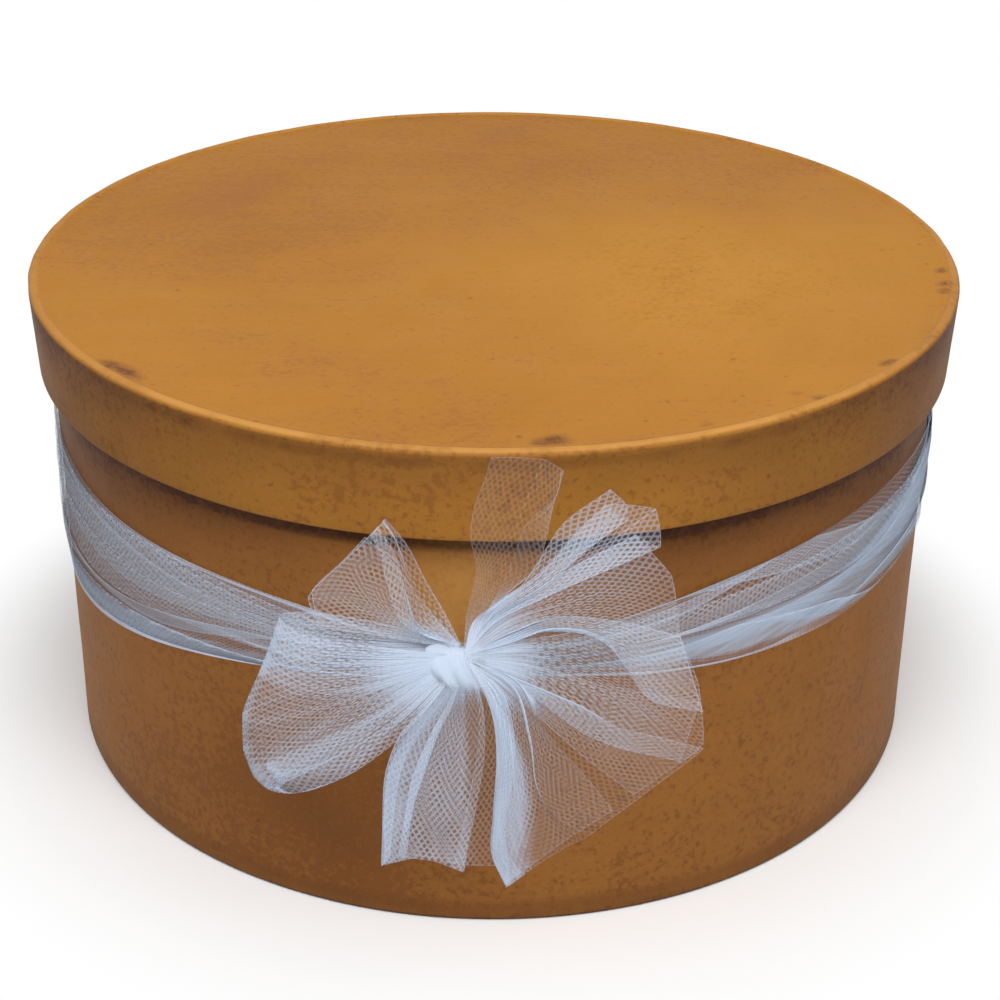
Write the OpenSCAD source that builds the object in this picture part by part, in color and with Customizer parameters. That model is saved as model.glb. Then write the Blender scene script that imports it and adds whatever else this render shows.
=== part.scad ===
// Round hatbox of paper-covered board with a lift-off lid, and a tulle ribbon tied round it in a bow.
// Millimetres. The origin is the middle of the underside, +Z is up, and the bow is at the front, on -Y.

/* [Box] */
// Outside diameter of the box without its lid
body_d = 292; // [240:1:380]
// Height of the box without its lid
body_h = 158; // [145:1:240]
// Thickness of the side's board
wall_t = 3; // [2:0.1:5]
// Thickness of the base's board
base_t = 3; // [2:0.1:6]
// Rounding of the side board's edges
edge_r = 0.8; // [0.2:0.1:1]

/* [Lid] */
// Height of the lid over all
lid_h = 28.5; // [22:0.5:40]
// Thickness of the lid's board
lid_t = 3; // [2:0.1:5]
// Thickness of the rim's board
rim_t = 2.6; // [2:0.1:4]
// How much further out the rim stands at its top than at its lower edge
rim_flare = 1.4; // [0:0.1:2]
// Gap all round between the box and the rim's lower edge
lid_clearance = 0.8; // [0.5:0.1:1.5]
// Height of the rim's rounded bead over the lid's top sheet
bead_rise = 0.8; // [0.3:0.1:1.2]

/* [Paper] */
// Thickness of the covering and lining papers
paper_t = 0.5; // [0.3:0.05:0.8]
// Thickness of the glue between a paper and what it covers
glue_t = 0.1; // [0.05:0.05:0.2]
// Width of the covering paper that is turned in over an open edge
turn_in = 12; // [6:1:18]
// Width of the covering paper that is turned under the base
turn_under = 9; // [5:1:16]
// Gap between the edges of two papers that meet
paper_gap = 0.3; // [0.2:0.1:0.6]
// Slope of the glued overlap where a board strip's ends meet, from the strip's face
scarf_slope = 20; // [15:1:40]

/* [Ribbon] */
// Width of the gathered ribbon at the back of the box
ribbon_w = 42; // [34:1:46]
// Thickness of the gathered ribbon between its folds
ribbon_t = 0.6; // [0.4:0.1:1.2]
// Height of the ribbon's lengthwise folds
fold_h = 1.2; // [0.4:0.1:2]
// Number of lengthwise folds in the ribbon
folds = 3; // [2:1:5]
// Gap between a stretch of ribbon and what it lies on
ribbon_gap = 0.3; // [0.25:0.05:0.6]

/* [Bow] */
// Distance from the lid's lower edge down to the middle of the knot
knot_drop = 31; // [26:1:45]
// Distance of the knot from the middle of the front, to the right
knot_x = -8; // [-20:1:20]
// Diameter of the knot
knot_d = 16; // [12:1:22]
// How far the knot stands in front of the sheets gathered into it
knot_front = 6; // [4:0.5:10]
// Gap between the lid's rim and the bow in front of it
bow_gap = 2; // [1:0.5:6]
// Thickness of the bow's gathered sheets
tulle_t = 0.8; // [0.5:0.1:1.2]
// Height of the pleats at the far edge of a sheet, above and below its middle
pleat_h = 2.5; // [1:0.5:4]
// Half the depth of the bow's loop
loop_depth = 9; // [5:1:14]
// Gap between the loop's front and back where they meet the knot
loop_root = 4; // [2:0.5:5]
// Length of the loop at the left
loop_l = 70; // [50:1:90]
// Length of the folded ear above the loop
ear_l = 46; // [36:1:56]
// Length of the end that stands up in front of the lid
upright_l = 64; // [50:1:75]
// Length of the pleated end at the upper right
end_l = 66; // [50:1:80]
// Length of the tail at the lower right
right_tail_l = 75; // [50:1:85]
// Length of the tail at the lower left
left_tail_l = 76; // [50:1:85]
// How far the bow's far edges lean forward
bow_lean = 4; // [2.5:0.5:8]
// How far the middle of a sheet swells forward
sheet_arch = 3; // [0:0.5:6]

/* [Hidden] */
$fn = 128;

paint = "#b57a2f";
kraft = "#a58a66";
cream = "#e4d9c3";
tulle = "#eef0f7";

// Paper and its glue together
skin_t = paper_t + glue_t;

// Radii of the box, from the outside in
body_r = body_d / 2;
wall_out = body_r - skin_t;
wall_in = wall_out - wall_t;
room_r = wall_in - skin_t;
corner_r = edge_r + skin_t;

// Heights in the base and in the lid
floor_z = skin_t + base_t;
lid_board_z = body_h + skin_t;
lid_sheet_z = lid_board_z + lid_t + glue_t;
lid_top = lid_sheet_z + paper_t + bead_rise;
lid_low = lid_top - lid_h;
rim_turn_z = lid_low + turn_in;

// The rim's board, whose top edge is a half round
rim_low = lid_low + skin_t;
bead_z = lid_top - skin_t - rim_t / 2;
rim_slope = rim_flare / lid_h;
function rim_in(z) = body_r + lid_clearance + skin_t + rim_slope * (z - lid_low);
function rim_out(z) = rim_in(z) + rim_t;
bead_middle = [rim_in(bead_z) + rim_t / 2, bead_z];
lid_r = rim_out(lid_top) + skin_t;

// The covering paper goes over the bead and ends on the lid's board
function bead_end(r) = 180 - asin((lid_sheet_z - bead_z) / r);
bead_cover_r = rim_t / 2 + skin_t;
bead_glue_r = rim_t / 2 + glue_t;
lid_sheet_r = bead_middle.x + bead_cover_r * cos(bead_end(bead_cover_r)) - paper_gap;

// Angles of the strips' seams, side by side at the back
seam_back = 90;
seam_step = 15;

// Lower and upper edge of the ribbon from the knot's height, as shares of its width at the back,
// every 30 degrees from there
ribbon_edges = [[-0.62, 0.38], [-0.72, 0.38], [-0.86, 0.38], [-0.93, 0.34], [-0.86, 0.14], [-0.57, 0.07],
    [-0.3, 0.05], [-0.48, 0.21], [-0.43, 0.36], [-0.4, 0.38], [-0.43, 0.38], [-0.52, 0.38]];
ribbon_stations = 72;
ribbon_in = body_r + ribbon_gap;
ribbon_out = ribbon_in + ribbon_t + fold_h;
steps_per_fold = 3;

// The bow's sheets start round the knot, in a plane just in front of the lid's rim
knot_z = lid_low - knot_drop;
knot_r = knot_d / 2;
knot_round = knot_front / 2;
bow_y = -(lid_r + bow_gap);
root_r = knot_r + ribbon_gap;
steps_per_pleat = 6;
sheet_rows = 9;
loop_rows = 20;

// Arc of points round a middle
function arc(middle, r, from, to, steps = 6) =
    [for (i = [0:steps]) let (a = from + (to - from) * i / steps) middle + r * [cos(a), sin(a)]];

// Point at a share u of the way along a list
function along_list(list, u) =
    let (x = u * (len(list) - 1), k = min(floor(x), len(list) - 2))
    list[k] + (list[k + 1] - list[k]) * (x - k);

// Smooth curve through a closed list, at step x
function ring_curve(list, x) =
    let (n = len(list), k = floor(x), f = x - k,
        a = list[(k + n - 1) % n], b = list[k % n], c = list[(k + 1) % n], d = list[(k + 2) % n])
    b + f * (c - a) / 2 + f * f * (2 * a - 5 * b + 4 * c - d) / 2 + f * f * f * (3 * b - a - 3 * c + d) / 2;

// Two triangles over the corners a, b, c and d, seen clockwise from outside
function two_faces(a, b, c, d) = [[a, b, c], [a, c, d]];

// Ring made of one strip, with its two ends a paper's gap apart
module strip_ring(r, seam) {
    gap_angle = 2 * asin(paper_gap / r / 2);
    rotate([0, 0, seam + gap_angle / 2]) rotate_extrude(angle = 360 - gap_angle) children();
}

// Thin slanted cut, filled with glue, where the ends of a board strip overlap
module scarf_cut(r_in, thickness, low, high, seam) {
    reach = 2 * thickness / sin(scarf_slope);
    rotate([0, 0, seam])
        translate([r_in + thickness / 2, 0, (low + high) / 2])
        rotate([0, 0, 90 - scarf_slope])
        cube([reach, glue_t, high - low + 2 * thickness], center = true);
}

module side_wall() {
    color(kraft) difference() {
        rotate_extrude() polygon(concat(
            [[wall_in, skin_t]],
            arc([wall_out - edge_r, skin_t + edge_r], edge_r, -90, 0),
            arc([wall_out - edge_r, body_h - corner_r], edge_r, 0, 90),
            arc([wall_in + edge_r, body_h - corner_r], edge_r, 90, 180)));
        scarf_cut(wall_in, wall_t, skin_t, body_h - skin_t, seam_back);
    }
}

module base_board() {
    color(kraft) translate([0, 0, skin_t]) cylinder(h = base_t, r = wall_in - glue_t);
}

// Painted paper on the outside, turned in over the top edge and under the base
module side_wrap() {
    color(paint) strip_ring(body_r, seam_back + seam_step) polygon(concat(
        [[body_r - turn_under, 0]],
        arc([body_r - corner_r, corner_r], corner_r, -90, 0),
        arc([body_r - corner_r, body_h - corner_r], corner_r, 0, 90),
        arc([room_r + corner_r, body_h - corner_r], corner_r, 90, 180),
        [[room_r, body_h - turn_in], [room_r + paper_t, body_h - turn_in]],
        arc([room_r + corner_r, body_h - corner_r], corner_r - paper_t, 180, 90),
        arc([body_r - corner_r, body_h - corner_r], corner_r - paper_t, 90, 0),
        arc([body_r - corner_r, corner_r], corner_r - paper_t, 0, -90),
        [[body_r - turn_under, paper_t]]));
}

module base_sheet() {
    color(paint) cylinder(h = paper_t, r = body_r - turn_under - paper_gap);
}

module side_lining() {
    lining_h = body_h - turn_in - paper_gap - floor_z - glue_t;
    color(cream) strip_ring(room_r, seam_back - seam_step)
        translate([room_r, floor_z + glue_t]) square([paper_t, lining_h]);
}

module base_lining() {
    color(cream) translate([0, 0, floor_z + glue_t]) cylinder(h = paper_t, r = room_r - glue_t);
}

module lid_board() {
    color(kraft) translate([0, 0, lid_board_z]) cylinder(h = lid_t, r = rim_in(lid_board_z) - glue_t);
}

module lid_rim() {
    color(kraft) difference() {
        rotate_extrude() polygon(concat(
            [[rim_in(rim_low), rim_low], [rim_out(rim_low), rim_low]],
            arc(bead_middle, rim_t / 2, 0, 180, 12)));
        scarf_cut(rim_in(rim_low), rim_t + rim_flare, rim_low, lid_top, seam_back);
    }
}

module lid_top_sheet() {
    color(paint) translate([0, 0, lid_sheet_z]) cylinder(h = paper_t, r = lid_sheet_r);
}

// Painted paper on the rim, over its bead and turned in under its lower edge
module lid_rim_wrap() {
    color(paint) strip_ring(lid_r, seam_back + seam_step) polygon(concat(
        [[rim_in(rim_turn_z) - skin_t, rim_turn_z]],
        arc([rim_in(rim_low), rim_low], skin_t, 180, 270, 4),
        arc([rim_out(rim_low), rim_low], skin_t, 270, 360, 4),
        arc(bead_middle, bead_cover_r, 0, bead_end(bead_cover_r), 12),
        arc(bead_middle, bead_glue_r, bead_end(bead_glue_r), 0, 12),
        [[rim_out(rim_low) + glue_t, rim_low - glue_t], [rim_in(rim_low) - glue_t, rim_low - glue_t],
            [rim_in(rim_turn_z) - glue_t, rim_turn_z]]));
}

module lid_rim_lining() {
    low = rim_turn_z + paper_gap;
    high = body_h - glue_t;
    color(cream) strip_ring(rim_in(low), seam_back - seam_step) polygon([
        [rim_in(low) - skin_t, low], [rim_in(low) - glue_t, low],
        [rim_in(high) - glue_t, high], [rim_in(high) - skin_t, high]]);
}

module lid_lining() {
    color(cream) translate([0, 0, body_h]) cylinder(h = paper_t, r = rim_in(body_h) - glue_t);
}

// Gathered ribbon round the box, with its folds running along it
module ribbon_band() {
    across = folds * steps_per_fold;
    section = across + 3;
    function fold_at(v) = ribbon_t + fold_h * (1 - cos(360 * folds * v)) / 2;
    function band_point(a, r, z) = [r * sin(a), -r * cos(a), z];
    function station(k) =
        let (a = 360 * k / ribbon_stations - 180,
            edges = ring_curve(ribbon_edges, len(ribbon_edges) * k / ribbon_stations),
            low = knot_z + ribbon_w * edges[0], high = knot_z + ribbon_w * edges[1])
        concat(
            [for (j = [0:across]) let (v = j / across)
                band_point(a, ribbon_in + fold_at(v), low + (high - low) * v)],
            [band_point(a, ribbon_in, high), band_point(a, ribbon_in, low)]);
    function at(k, j) = (k % ribbon_stations) * section + j % section;
    color(tulle) polyhedron(
        points = [for (k = [0:ribbon_stations - 1]) each station(k)],
        faces = [for (k = [0:ribbon_stations - 1], j = [0:section - 1])
            each two_faces(at(k, j), at(k, j + 1), at(k + 1, j + 1), at(k + 1, j))]);
}

// Tight middle of the bow, on the ribbon and standing out through the bow's sheets
module bow_knot() {
    back = -(ribbon_out + ribbon_gap);
    length = back - bow_y + knot_front;
    color(tulle) translate([knot_x, back, knot_z]) rotate([90, 0, 0]) rotate_extrude()
        polygon(concat([[0, 0], [knot_r, 0]],
            arc([knot_r - knot_round, length - knot_round], knot_round, 0, 90), [[0, length]]));
}

// Sheet gathered at the knot. Each point of its far edge, clockwise, is a heading from the knot and a
// share of the length. bend turns its sides near the knot, lean and arch are shares of the bow's own.
// A looped sheet goes out to that edge and comes back to the knot behind itself.
module gathered_sheet(length, edge, pleats, lean, bend = [0, 0], arch = 1, looped = false) {
    tips = [for (p = edge) length * p[1] * [cos(p[0]), sin(p[0])]];
    columns = pleats * steps_per_pleat;
    rows = looped ? loop_rows : sheet_rows;
    layer = (columns + 1) * (rows + 1);
    function run(t) = looped ? sin(180 * t) : t;
    function swell(t) = looped
        ? loop_depth * sin(360 * t) + loop_root * cos(180 * t) / 2
        : arch * sheet_arch * sin(180 * t);
    function pleat(u) = pleat_h * cos(360 * pleats * u);
    function away(u, t) = root_r + (norm(along_list(tips, u)) - root_r) * run(t);
    function out(u, t) = (bow_lean * along_list(lean, u) + pleat(u)) * run(t) + swell(t);
    function heading(u, t) =
        let (tip = along_list(tips, u)) atan2(tip.y, tip.x) + along_list(bend, u) * (1 - run(t));
    function facing(u, t) =
        let (step = 0.01,
            slope = [away(u, t + step) - away(u, t - step), out(u, t + step) - out(u, t - step)])
        looped ? [-slope.y, slope.x] / norm(slope) : [0, 1];
    function sheet_point(u, t, side) =
        let (shift = facing(u, t) * side * tulle_t / 2,
            r = away(u, t) + shift.x, a = heading(u, t))
        [knot_x + r * cos(a), bow_y - out(u, t) - shift.y, knot_z + r * sin(a)];
    function at(i, j, side) = (side > 0 ? 0 : layer) + j * (columns + 1) + i;
    function rim_faces(i, j, k, l) = two_faces(at(k, l, 1), at(i, j, 1), at(i, j, -1), at(k, l, -1));
    color(tulle) polyhedron(
        points = [for (side = [1, -1], j = [0:rows], i = [0:columns])
            sheet_point(i / columns, j / rows, side)],
        faces = concat(
            [for (i = [0:columns - 1], j = [0:rows - 1])
                each two_faces(at(i, j, 1), at(i, j + 1, 1), at(i + 1, j + 1, 1), at(i + 1, j, 1))],
            [for (i = [0:columns - 1], j = [0:rows - 1])
                each two_faces(at(i, j, -1), at(i + 1, j, -1), at(i + 1, j + 1, -1), at(i, j + 1, -1))],
            [for (j = [0:rows - 1]) each rim_faces(0, j, 0, j + 1)],
            [for (j = [0:rows - 1]) each rim_faces(columns, j + 1, columns, j)],
            [for (i = [0:columns - 1]) each rim_faces(i, rows, i + 1, rows)],
            [for (i = [0:columns - 1]) each rim_faces(i + 1, 0, i, 0)]));
}

module bow_left_loop() {
    gathered_sheet(loop_l, [[226, 0.94], [218, 1.04], [204, 0.97], [186, 0.83], [166, 0.73]], 4, [1, 0.5],
        bend = [10, 0], looped = true);
}

module bow_left_ear() {
    gathered_sheet(ear_l, [[160, 1.04], [140, 0.97], [117, 1], [113, 0.9]], 2, [0.8, 1]);
}

module bow_upright_end() {
    gathered_sheet(upright_l, [[82, 0.91], [77, 0.98], [71, 1.02], [65, 0.99]], 1, [0.8, 1.2]);
}

module bow_right_end() {
    gathered_sheet(end_l, [[54, 0.98], [46, 0.95], [43, 1.07], [33, 1.01], [19, 0.94], [4, 0.94], [-8, 1],
        [-18, 1.08]], 4, [1.7, 2.5], arch = 1.6);
}

module bow_right_tail() {
    gathered_sheet(right_tail_l, [[-20.5, 0.95], [-34, 0.9], [-50, 0.89], [-66, 0.94], [-80, 1.05]], 4,
        [2.5, 1.5], arch = 1.6);
}

module bow_left_tail() {
    gathered_sheet(left_tail_l, [[-84, 1.02], [-92, 0.99], [-100, 0.98], [-107, 1.05]], 3, [0.8, 1],
        bend = [0, -14]);
}

side_wall();
base_board();
side_wrap();
base_sheet();
side_lining();
base_lining();
lid_board();
lid_rim();
lid_top_sheet();
lid_rim_wrap();
lid_rim_lining();
lid_lining();
ribbon_band();
bow_knot();
bow_left_loop();
bow_left_ear();
bow_upright_end();
bow_right_end();
bow_right_tail();
bow_left_tail();
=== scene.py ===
import math

import bpy
import numpy as np
from mathutils import Matrix, Vector


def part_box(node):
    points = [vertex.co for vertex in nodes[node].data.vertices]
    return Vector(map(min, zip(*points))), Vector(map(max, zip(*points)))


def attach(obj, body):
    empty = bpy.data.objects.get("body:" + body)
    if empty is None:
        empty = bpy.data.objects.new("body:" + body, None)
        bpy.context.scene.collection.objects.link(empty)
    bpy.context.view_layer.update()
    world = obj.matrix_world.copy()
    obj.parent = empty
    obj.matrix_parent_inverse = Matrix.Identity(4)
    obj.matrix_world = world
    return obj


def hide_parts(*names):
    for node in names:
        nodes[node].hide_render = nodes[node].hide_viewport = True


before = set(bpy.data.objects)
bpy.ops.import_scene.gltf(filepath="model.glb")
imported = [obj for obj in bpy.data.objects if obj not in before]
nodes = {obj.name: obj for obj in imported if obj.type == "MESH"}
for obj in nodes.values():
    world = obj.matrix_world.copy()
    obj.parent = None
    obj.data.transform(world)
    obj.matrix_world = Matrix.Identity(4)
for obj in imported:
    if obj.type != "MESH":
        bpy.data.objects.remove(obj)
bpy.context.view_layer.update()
MM = 0.001

# Sizes of the papers, in metres
paper_t = 0.5 * MM
glue_t = 0.1 * MM
skin_t = paper_t + glue_t
turn_in = 12 * MM
turn_under = 9 * MM
corner_r = 1.4 * MM
rim_t = 2.6 * MM
rim_flare = 1.4 * MM
seam_angle = math.radians(105)
seam_gap = 0.3 * MM
seam_lift = 0.2 * MM
seam_lift_span = 3 * MM
top_lap = 1.1 * MM
bow_depth = 6 * MM

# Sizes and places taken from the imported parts
body_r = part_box("side_wrap")[1].x
body_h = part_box("side_wrap")[1].z
room_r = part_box("base_lining")[1].x + glue_t
base_sheet_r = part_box("base_sheet")[1].x
lid_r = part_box("lid_rim_wrap")[1].x
lid_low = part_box("lid_rim_wrap")[0].z
lid_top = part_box("lid_rim_wrap")[1].z
lid_sheet_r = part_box("lid_top_sheet")[1].x
lid_sheet_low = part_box("lid_top_sheet")[0].z
lid_sheet_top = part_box("lid_top_sheet")[1].z
knot_low, knot_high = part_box("bow_knot")
knot_x = (knot_low.x + knot_high.x) / 2
knot_z = (knot_low.z + knot_high.z) / 2
bow_y = knot_low.y + bow_depth

# The rim's board leans out a little, and its top edge is a half round
rim_foot = lid_r - skin_t - rim_t - rim_flare
rim_slope = rim_flare / (lid_top - lid_low)
bead_z = lid_top - skin_t - rim_t / 2
bead_cover_r = rim_t / 2 + skin_t
bead_glue_r = rim_t / 2 + glue_t


def rim_in(z):
    return rim_foot + rim_slope * (z - lid_low)


bead_middle = (rim_in(bead_z) + rim_t / 2, bead_z)


# Meshes
def srgb(red, green, blue):
    """Linear colour of a screen colour given from 0 to 255."""
    levels = (c / 255 for c in (red, green, blue))
    linear = [c / 12.92 if c <= 0.04045 else ((c + 0.055) / 1.055) ** 2.4 for c in levels]
    return (*linear, 1.0)


def grey(level):
    return (level, level, level, 1.0)


def make_object(name, points, faces, material, sharp=40):
    mesh = bpy.data.meshes.new(name)
    mesh.from_pydata([tuple(p) for p in points], [], faces)
    mesh.shade_smooth()
    mesh.set_sharp_from_angle(angle=math.radians(sharp))
    mesh.materials.append(material)
    obj = bpy.data.objects.new(name, mesh)
    bpy.context.scene.collection.objects.link(obj)
    return obj


def give_numbers(obj, name, values):
    """Stores one number, or one vector, for each point of the mesh."""
    values = np.asarray(values, np.float32)
    kind, field = ("FLOAT", "value") if values.ndim == 1 else ("FLOAT_VECTOR", "vector")
    attribute = obj.data.attributes.new(name, kind, "POINT")
    attribute.data.foreach_set(field, values.ravel())


def ripple(seed, waves, low, high):
    """A smooth wavy function of two coordinates, from minus 1 to 1, with wave numbers from low to high."""
    draw = np.random.RandomState(seed)
    headings = draw.uniform(0, 2 * math.pi, waves)
    numbers = draw.uniform(low, high, waves)
    starts = draw.uniform(0, 2 * math.pi, waves)

    def height(x, y):
        total = 0
        for heading, number, start in zip(headings, numbers, starts):
            total = total + np.sin(number * (x * math.cos(heading) + y * math.sin(heading)) + start)
        return total / waves

    return height


def step(low, high, x):
    """Smooth step from 0 at low to 1 at high."""
    share = np.clip((x - low) / (high - low), 0, 1)
    return share * share * (3 - 2 * share)


# Materials
class Graph:
    """Builds a material's or the world's nodes. A socket is given a number, a colour or an output."""

    def __init__(self, owner):
        owner.use_nodes = True
        self.owner = owner
        self.tree = owner.node_tree
        self.shader = self.tree.nodes.get("Principled BSDF")

    def put(self, socket, value):
        if isinstance(value, bpy.types.NodeSocket):
            self.tree.links.new(value, socket)
        else:
            socket.default_value = value

    def node(self, kind, inputs, **settings):
        made = self.tree.nodes.new("ShaderNode" + kind)
        for key, value in settings.items():
            setattr(made, key, value)
        for key, value in inputs.items():
            self.put(made.inputs[key], value)
        return made

    def attribute(self, name, output="Fac"):
        return self.node("Attribute", {}, attribute_name=name).outputs[output]

    def place(self):
        return self.node("TexCoord", {}).outputs["Object"]

    def scaled(self, vector, scale):
        return self.vector("MULTIPLY", vector, scale)

    def noise(self, vector, scale, detail=3.0, roughness=0.5):
        inputs = {"Vector": vector, "Scale": scale, "Detail": detail, "Roughness": roughness}
        return self.node("TexNoise", inputs).outputs["Fac"]

    def math(self, operation, a, b=0.0, c=0.0):
        return self.node("Math", {0: a, 1: b, 2: c}, operation=operation).outputs[0]

    def centred(self, noise, amount):
        """Noise from 0 to 1, made to swing round 0 by this amount in all."""
        return self.math("MULTIPLY_ADD", noise, amount, -amount / 2)

    def vector(self, operation, a, b=(0.0, 0.0, 0.0), c=(0.0, 0.0, 0.0)):
        return self.node("VectorMath", {0: a, 1: b, 2: c}, operation=operation).outputs["Vector"]

    def dot(self, a, b):
        return self.node("VectorMath", {0: a, 1: b}, operation="DOT_PRODUCT").outputs["Value"]

    def range(self, value, low, high, to_low=0.0, to_high=1.0):
        inputs = {"Value": value, "From Min": low, "From Max": high, "To Min": to_low, "To Max": to_high}
        return self.node("MapRange", inputs, interpolation_type="SMOOTHSTEP").outputs[0]

    def mix(self, share, a, b):
        return self.node("Mix", {0: share, 6: a, 7: b}, data_type="RGBA").outputs[2]

    def finish(self, **inputs):
        for key, value in inputs.items():
            self.put(self.shader.inputs[key.replace("_", " ")], value)
        return self.owner


# Marks in the paint, as cells per metre
cloud_cells = 15
patch_cells = 65
speck_cells = 140.0
dab_cells = 430
fibre_cells = 700


def painted_paper(name, ochre, yellow, brown, wash, streaks, mottle):
    """Antiqued paint: a brushed ochre coat, a brown wash rubbed over it, specks, edges rubbed lighter,
    painted shade and highlight.
    """
    g = Graph(bpy.data.materials.new(name))
    place = g.place()
    clouds = g.noise(place, cloud_cells, 2)
    patches = g.noise(place, patch_cells, 3, 0.55)
    dabs = g.noise(place, dab_cells, 3, 0.6)
    fibres = g.noise(place, fibre_cells, 4, 0.65)
    brushed = g.noise(g.scaled(place, streaks), 1, 3, 0.6)
    swirl = g.noise(g.attribute("swirl", "Vector"), 1, 3, 0.6)
    strokes = g.math("MULTIPLY_ADD", g.math("ADD", brushed, swirl), 0.5, -0.5)
    tone = g.math("ADD", g.attribute("tone"), g.centred(clouds, 1.2))
    for noise, amount in ((patches, 0.75), (dabs, 1.8), (fibres, 1.1)):
        tone = g.math("ADD", tone, g.centred(noise, amount * mottle))
    tone = g.math("MULTIPLY_ADD", strokes, 0.7, tone)
    colour = g.mix(g.range(tone, -0.7, 0.05), brown, ochre)
    colour = g.mix(g.range(tone, -0.05, 0.7), colour, yellow)
    grain = g.math("MULTIPLY_ADD", fibres, 0.35, g.math("MULTIPLY", dabs, 0.45))
    grain = g.math("MULTIPLY_ADD", patches, 0.2, grain)
    rubbed = g.range(grain, 0.36, 0.76, 0.0, 0.34 * mottle)
    patchy = g.range(g.math("MULTIPLY_ADD", strokes, 0.35, grain), 0.36, 0.64, 0.35, 1.0)
    stained = g.math("MULTIPLY", g.attribute("wash"), patchy)
    colour = g.mix(g.math("MINIMUM", g.math("MAXIMUM", rubbed, stained), 0.9), colour, wash)
    # Painted shade: darkens the paint towards the wash colour where the piece's shade attribute asks
    shaded_and_washed = g.math("MULTIPLY", g.attribute("painted_shade_and_wash"), g.range(grain, 0.36, 0.64, 0.7, 1.3))
    colour = g.mix(shaded_and_washed, colour, wash)
    cell = g.node("TexVoronoi", {"Vector": place, "Scale": speck_cells, "Randomness": 1.0})
    chosen = g.range(g.node("SeparateColor", {0: cell.outputs["Color"]}).outputs[0], 0.35, 1.1)
    speck = g.range(g.math("MULTIPLY_ADD", fibres, 0.12, cell.outputs["Distance"]), 0.1, 0.22, 0.45, 0.0)
    colour = g.mix(g.math("MULTIPLY", chosen, speck), colour, wash)
    # Paint rubbed lighter, and painted highlight, in a lighter colour
    worn_and_lit = g.math("MULTIPLY", g.attribute("wear_and_highlight"), g.range(patches, 0.3, 0.6, 0.25, 0.85))
    colour = g.mix(worn_and_lit, colour, worn_and_lit_paint)
    height = g.math("MULTIPLY_ADD", brushed, 0.5, fibres)
    bump = g.node("Bump", {"Strength": 0.3, "Distance": 0.12 * MM, "Height": height}).outputs[0]
    gloss = g.math("MULTIPLY_ADD", patches, 0.2, 0.5)
    g.put(g.shader.inputs["Specular IOR Level"], 0.16)
    return g.finish(Base_Color=colour, Roughness=gloss, Normal=bump)


def plain_paper(name, light, dark, fibre_scale):
    """Uncoated paper or board, with clouds and short fibres."""
    g = Graph(bpy.data.materials.new(name))
    place = g.place()
    fibres = g.noise(g.scaled(place, (1.0, 1.0, 0.35)), fibre_scale, 6, 0.7)
    clouds = g.noise(place, 24, 3)
    share = g.range(g.math("MULTIPLY_ADD", clouds, 0.5, fibres), 0.5, 1.0)
    colour = g.mix(share, dark, light)
    bump = g.node("Bump", {"Strength": 0.4, "Distance": 0.1 * MM, "Height": fibres}).outputs[0]
    g.put(g.shader.inputs["Specular IOR Level"], 0.25)
    return g.finish(Base_Color=colour, Roughness=g.range(fibres, 0.2, 0.8, 0.75, 0.9), Normal=bump)


# The net's pitch and hem, and the shares of light that its threads, its hem and a layer of it stop
net_pitch = 1.8 * MM
hexagon_h = math.sqrt(3) / 2
hem_w = 0.4 * MM
thread_share = 0.18
hem_share = 0.26
layer_share = 0.095
haze_most = 0.8
shadow_share = 0.55
thread_colour = (0.68, 0.71, 0.79, 1.0)
layers_shade = (0.6, 0.7, 0.87, 1.0)
layers_light = (0.66, 0.76, 0.93, 1.0)


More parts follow.
